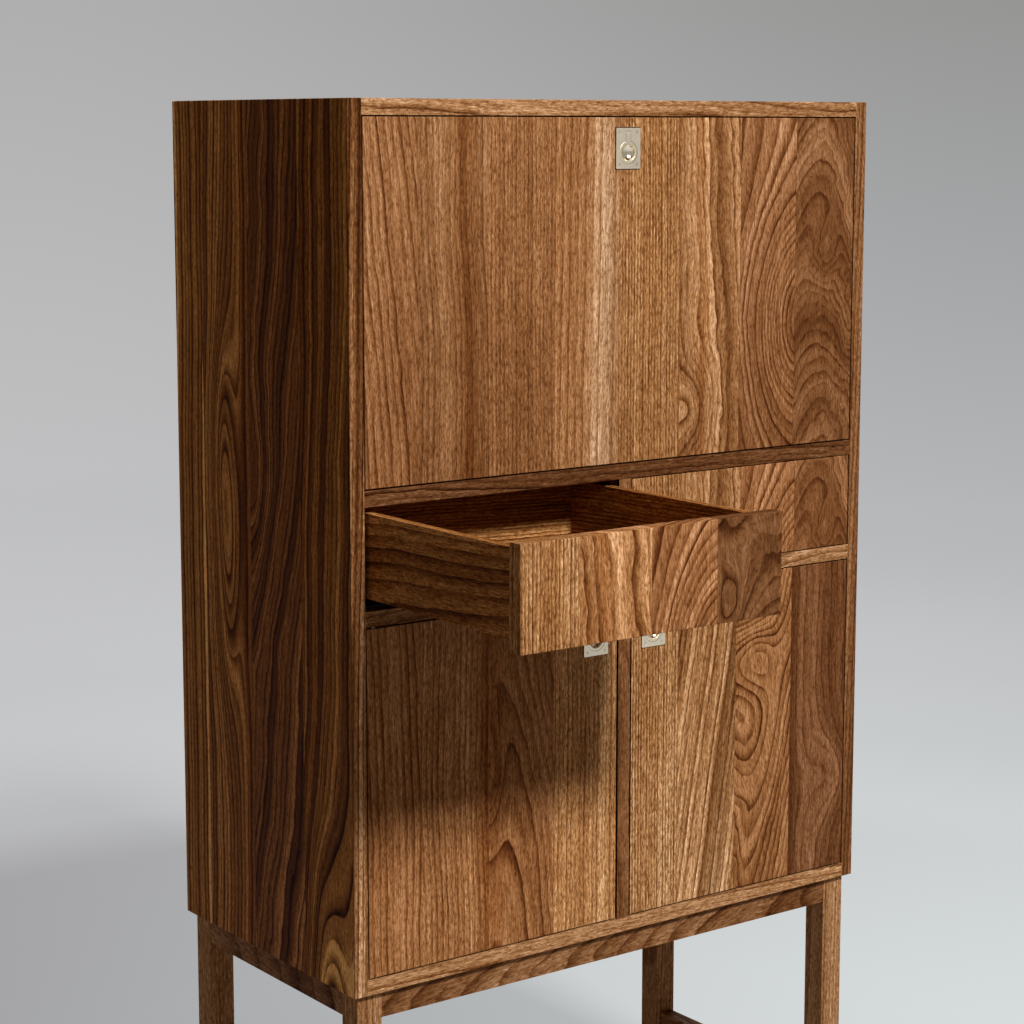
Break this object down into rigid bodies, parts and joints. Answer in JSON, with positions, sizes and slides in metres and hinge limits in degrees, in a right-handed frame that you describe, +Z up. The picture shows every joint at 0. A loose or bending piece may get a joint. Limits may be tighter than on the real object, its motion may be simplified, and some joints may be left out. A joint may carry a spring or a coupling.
{
  "type": "bar cabinet with fold-out shelf",
  "caption": "Walnut bar cabinet on a leg frame: a fold-out shelf held by sliding-rod stays, drawers and doors below it, all with flush fronts and let-in ring pulls.",
  "frame": {"origin": "on the floor, at the centre of the ground covered by the cabinet with its left drawer standing open", "axes": "+X to the cabinet's right as seen from its front, +Y from the front to the back, +Z up"},
  "size_m": [0.9, 0.78, 1.6],
  "materials": {
    "walnut_case": "oiled solid walnut, edge-glued staves",
    "walnut_fronts": "oiled solid walnut, edge-glued staves, upright grain",
    "walnut_frame": "oiled solid walnut, eased edges",
    "walnut_inside": "oiled solid walnut",
    "back_veneer": "walnut-faced plywood, oiled",
    "dowel_wood": "plain turned beech",
    "pull_metal": "nickel with a warm satin finish",
    "stay_metal": "satin nickel",
    "hinge_metal": "satin nickel",
    "runner_steel": "zinc-plated sheet steel",
    "screw_steel": "plated steel",
    "magnet_black": "black moulded housing",
    "glide_plastic": "dark brown moulded plastic"
  },
  "bodies": {
    "case": {"side_panel_left": "walnut_case", "side_panel_right": "walnut_case", "top_panel": "walnut_case", "bottom_panel": "walnut_case", "bar_floor_board": "walnut_case", "drawer_rail": "walnut_case", "drawer_divider": "walnut_case", "door_divider": "walnut_case", "back_panel": "back_veneer", "bar_deck": "walnut_inside", "bar_shelf": "walnut_inside", "door_shelves": "walnut_inside", "shelf_pins": "screw_steel", "wood_dowels": "dowel_wood", "back_screws": "screw_steel", "leg_front_left": "walnut_frame", "leg_front_right": "walnut_frame", "leg_back_left": "walnut_frame", "leg_back_right": "walnut_frame", "base_rail_front": "walnut_frame", "base_rail_back": "walnut_frame", "base_side_rails": "walnut_frame", "side_stretchers": "walnut_frame", "base_bolts": "screw_steel", "foot_glides": "glide_plastic", "leaf_pivot_plates": "hinge_metal", "door_pivot_plates": "hinge_metal", "runner_case_members": "runner_steel", "magnetic_catches": "magnet_black", "stay_posts": "stay_metal"},
    "drop_front": {"drop_front": "walnut_fronts", "drop_front_fittings": "hinge_metal", "drop_front_pull_plate": "pull_metal", "drop_front_pull_screws": "pull_metal", "stay_brackets": "stay_metal"},
    "drop_front_ring": {"drop_front_pull_ring": "pull_metal"},
    "stay_rod_left": {"stay_rod_left": "stay_metal"},
    "stay_rod_right": {"stay_rod_right": "stay_metal"},
    "stay_guide_left": {"stay_guide_left": "stay_metal"},
    "stay_guide_right": {"stay_guide_right": "stay_metal"},
    "runner_slides_left": {"runner_slides_left": "runner_steel"},
    "runner_slides_right": {"runner_slides_right": "runner_steel"},
    "door_left": {"door_left": "walnut_fronts", "door_left_fittings": "hinge_metal", "door_left_pull_plate": "pull_metal", "door_left_pull_screws": "pull_metal"},
    "door_left_ring": {"door_left_pull_ring": "pull_metal"},
    "drawer_left": {"drawer_left_front": "walnut_fronts", "drawer_left_walls": "walnut_inside", "drawer_left_bottom": "walnut_inside", "drawer_left_runner_members": "runner_steel"},
    "door_right": {"door_right": "walnut_fronts", "door_right_fittings": "hinge_metal", "door_right_pull_plate": "pull_metal", "door_right_pull_screws": "pull_metal"},
    "door_right_ring": {"door_right_pull_ring": "pull_metal"},
    "drawer_right": {"drawer_right_front": "walnut_fronts", "drawer_right_walls": "walnut_inside", "drawer_right_bottom": "walnut_inside", "drawer_right_runner_members": "runner_steel"}
  },
  "joints": [
    {"name": "drop_front_hinge", "type": "hinge", "parent": "case", "child": "drop_front", "pos_m": [0, -0.054, 1.118], "axis": [1, 0, 0], "range_deg": [0, 90]},
    {"name": "drop_front_ring_hinge", "type": "hinge", "parent": "drop_front", "child": "drop_front_ring", "pos_m": [0, -0.0595, 1.5565], "axis": [-1, 0, 0], "range_deg": [0, 90]},
    {"name": "stay_rod_left_pivot", "type": "hinge", "parent": "drop_front", "child": "stay_rod_left", "pos_m": [-0.415, -0.029, 1.31643], "axis": [1, 0, 0], "range_deg": [-45, 0]},
    {"name": "stay_guide_left_pivot", "type": "hinge", "parent": "case", "child": "stay_guide_left", "pos_m": [-0.415, 0.046, 1.2912], "axis": [1, 0, 0], "range_deg": [0, 45]},
    {"name": "door_left_hinge", "type": "hinge", "parent": "case", "child": "door_left", "pos_m": [-0.415, -0.054, 0.6905], "axis": [0, 0, -1], "range_deg": [0, 110]},
    {"name": "door_left_ring_hinge", "type": "hinge", "parent": "door_left", "child": "door_left_ring", "pos_m": [-0.0515, -0.0595, 0.8895], "axis": [-1, 0, 0], "range_deg": [0, 90]},
    {"name": "stay_rod_right_pivot", "type": "hinge", "parent": "drop_front", "child": "stay_rod_right", "pos_m": [0.415, -0.029, 1.31643], "axis": [1, 0, 0], "range_deg": [-45, 0]},
    {"name": "stay_guide_right_pivot", "type": "hinge", "parent": "case", "child": "stay_guide_right", "pos_m": [0.415, 0.046, 1.2912], "axis": [1, 0, 0], "range_deg": [0, 45]},
    {"name": "door_right_hinge", "type": "hinge", "parent": "case", "child": "door_right", "pos_m": [0.415, -0.054, 0.6905], "axis": [0, 0, 1], "range_deg": [0, 110]},
    {"name": "door_right_ring_hinge", "type": "hinge", "parent": "door_right", "child": "door_right_ring", "pos_m": [0.0515, -0.0595, 0.8895], "axis": [-1, 0, 0], "range_deg": [0, 90]},
    {"name": "drawer_left_slide", "type": "slide", "parent": "case", "child": "drawer_left", "axis": [0, -1, 0], "range_m": [-0.33, 0.06]},
    {"name": "drawer_right_slide", "type": "slide", "parent": "case", "child": "drawer_right", "axis": [0, -1, 0], "range_m": [0, 0.39]},
    {"name": "runner_left_slide", "type": "slide", "parent": "case", "child": "runner_slides_left", "axis": [0, -1, 0], "range_m": [-0.165, 0.03]},
    {"name": "runner_right_slide", "type": "slide", "parent": "case", "child": "runner_slides_right", "axis": [0, -1, 0], "range_m": [0, 0.195]}
  ],
  "couplings": [
    {"joint": "stay_rod_left_pivot", "follows": "drop_front_hinge", "ratio": -0.5},
    {"joint": "stay_guide_left_pivot", "follows": "drop_front_hinge", "ratio": 0.5},
    {"joint": "runner_left_slide", "follows": "drawer_left_slide", "ratio": 0.5},
    {"joint": "stay_rod_right_pivot", "follows": "drop_front_hinge", "ratio": -0.5},
    {"joint": "stay_guide_right_pivot", "follows": "drop_front_hinge", "ratio": 0.5},
    {"joint": "runner_right_slide", "follows": "drawer_right_slide", "ratio": 0.5}
  ]
}
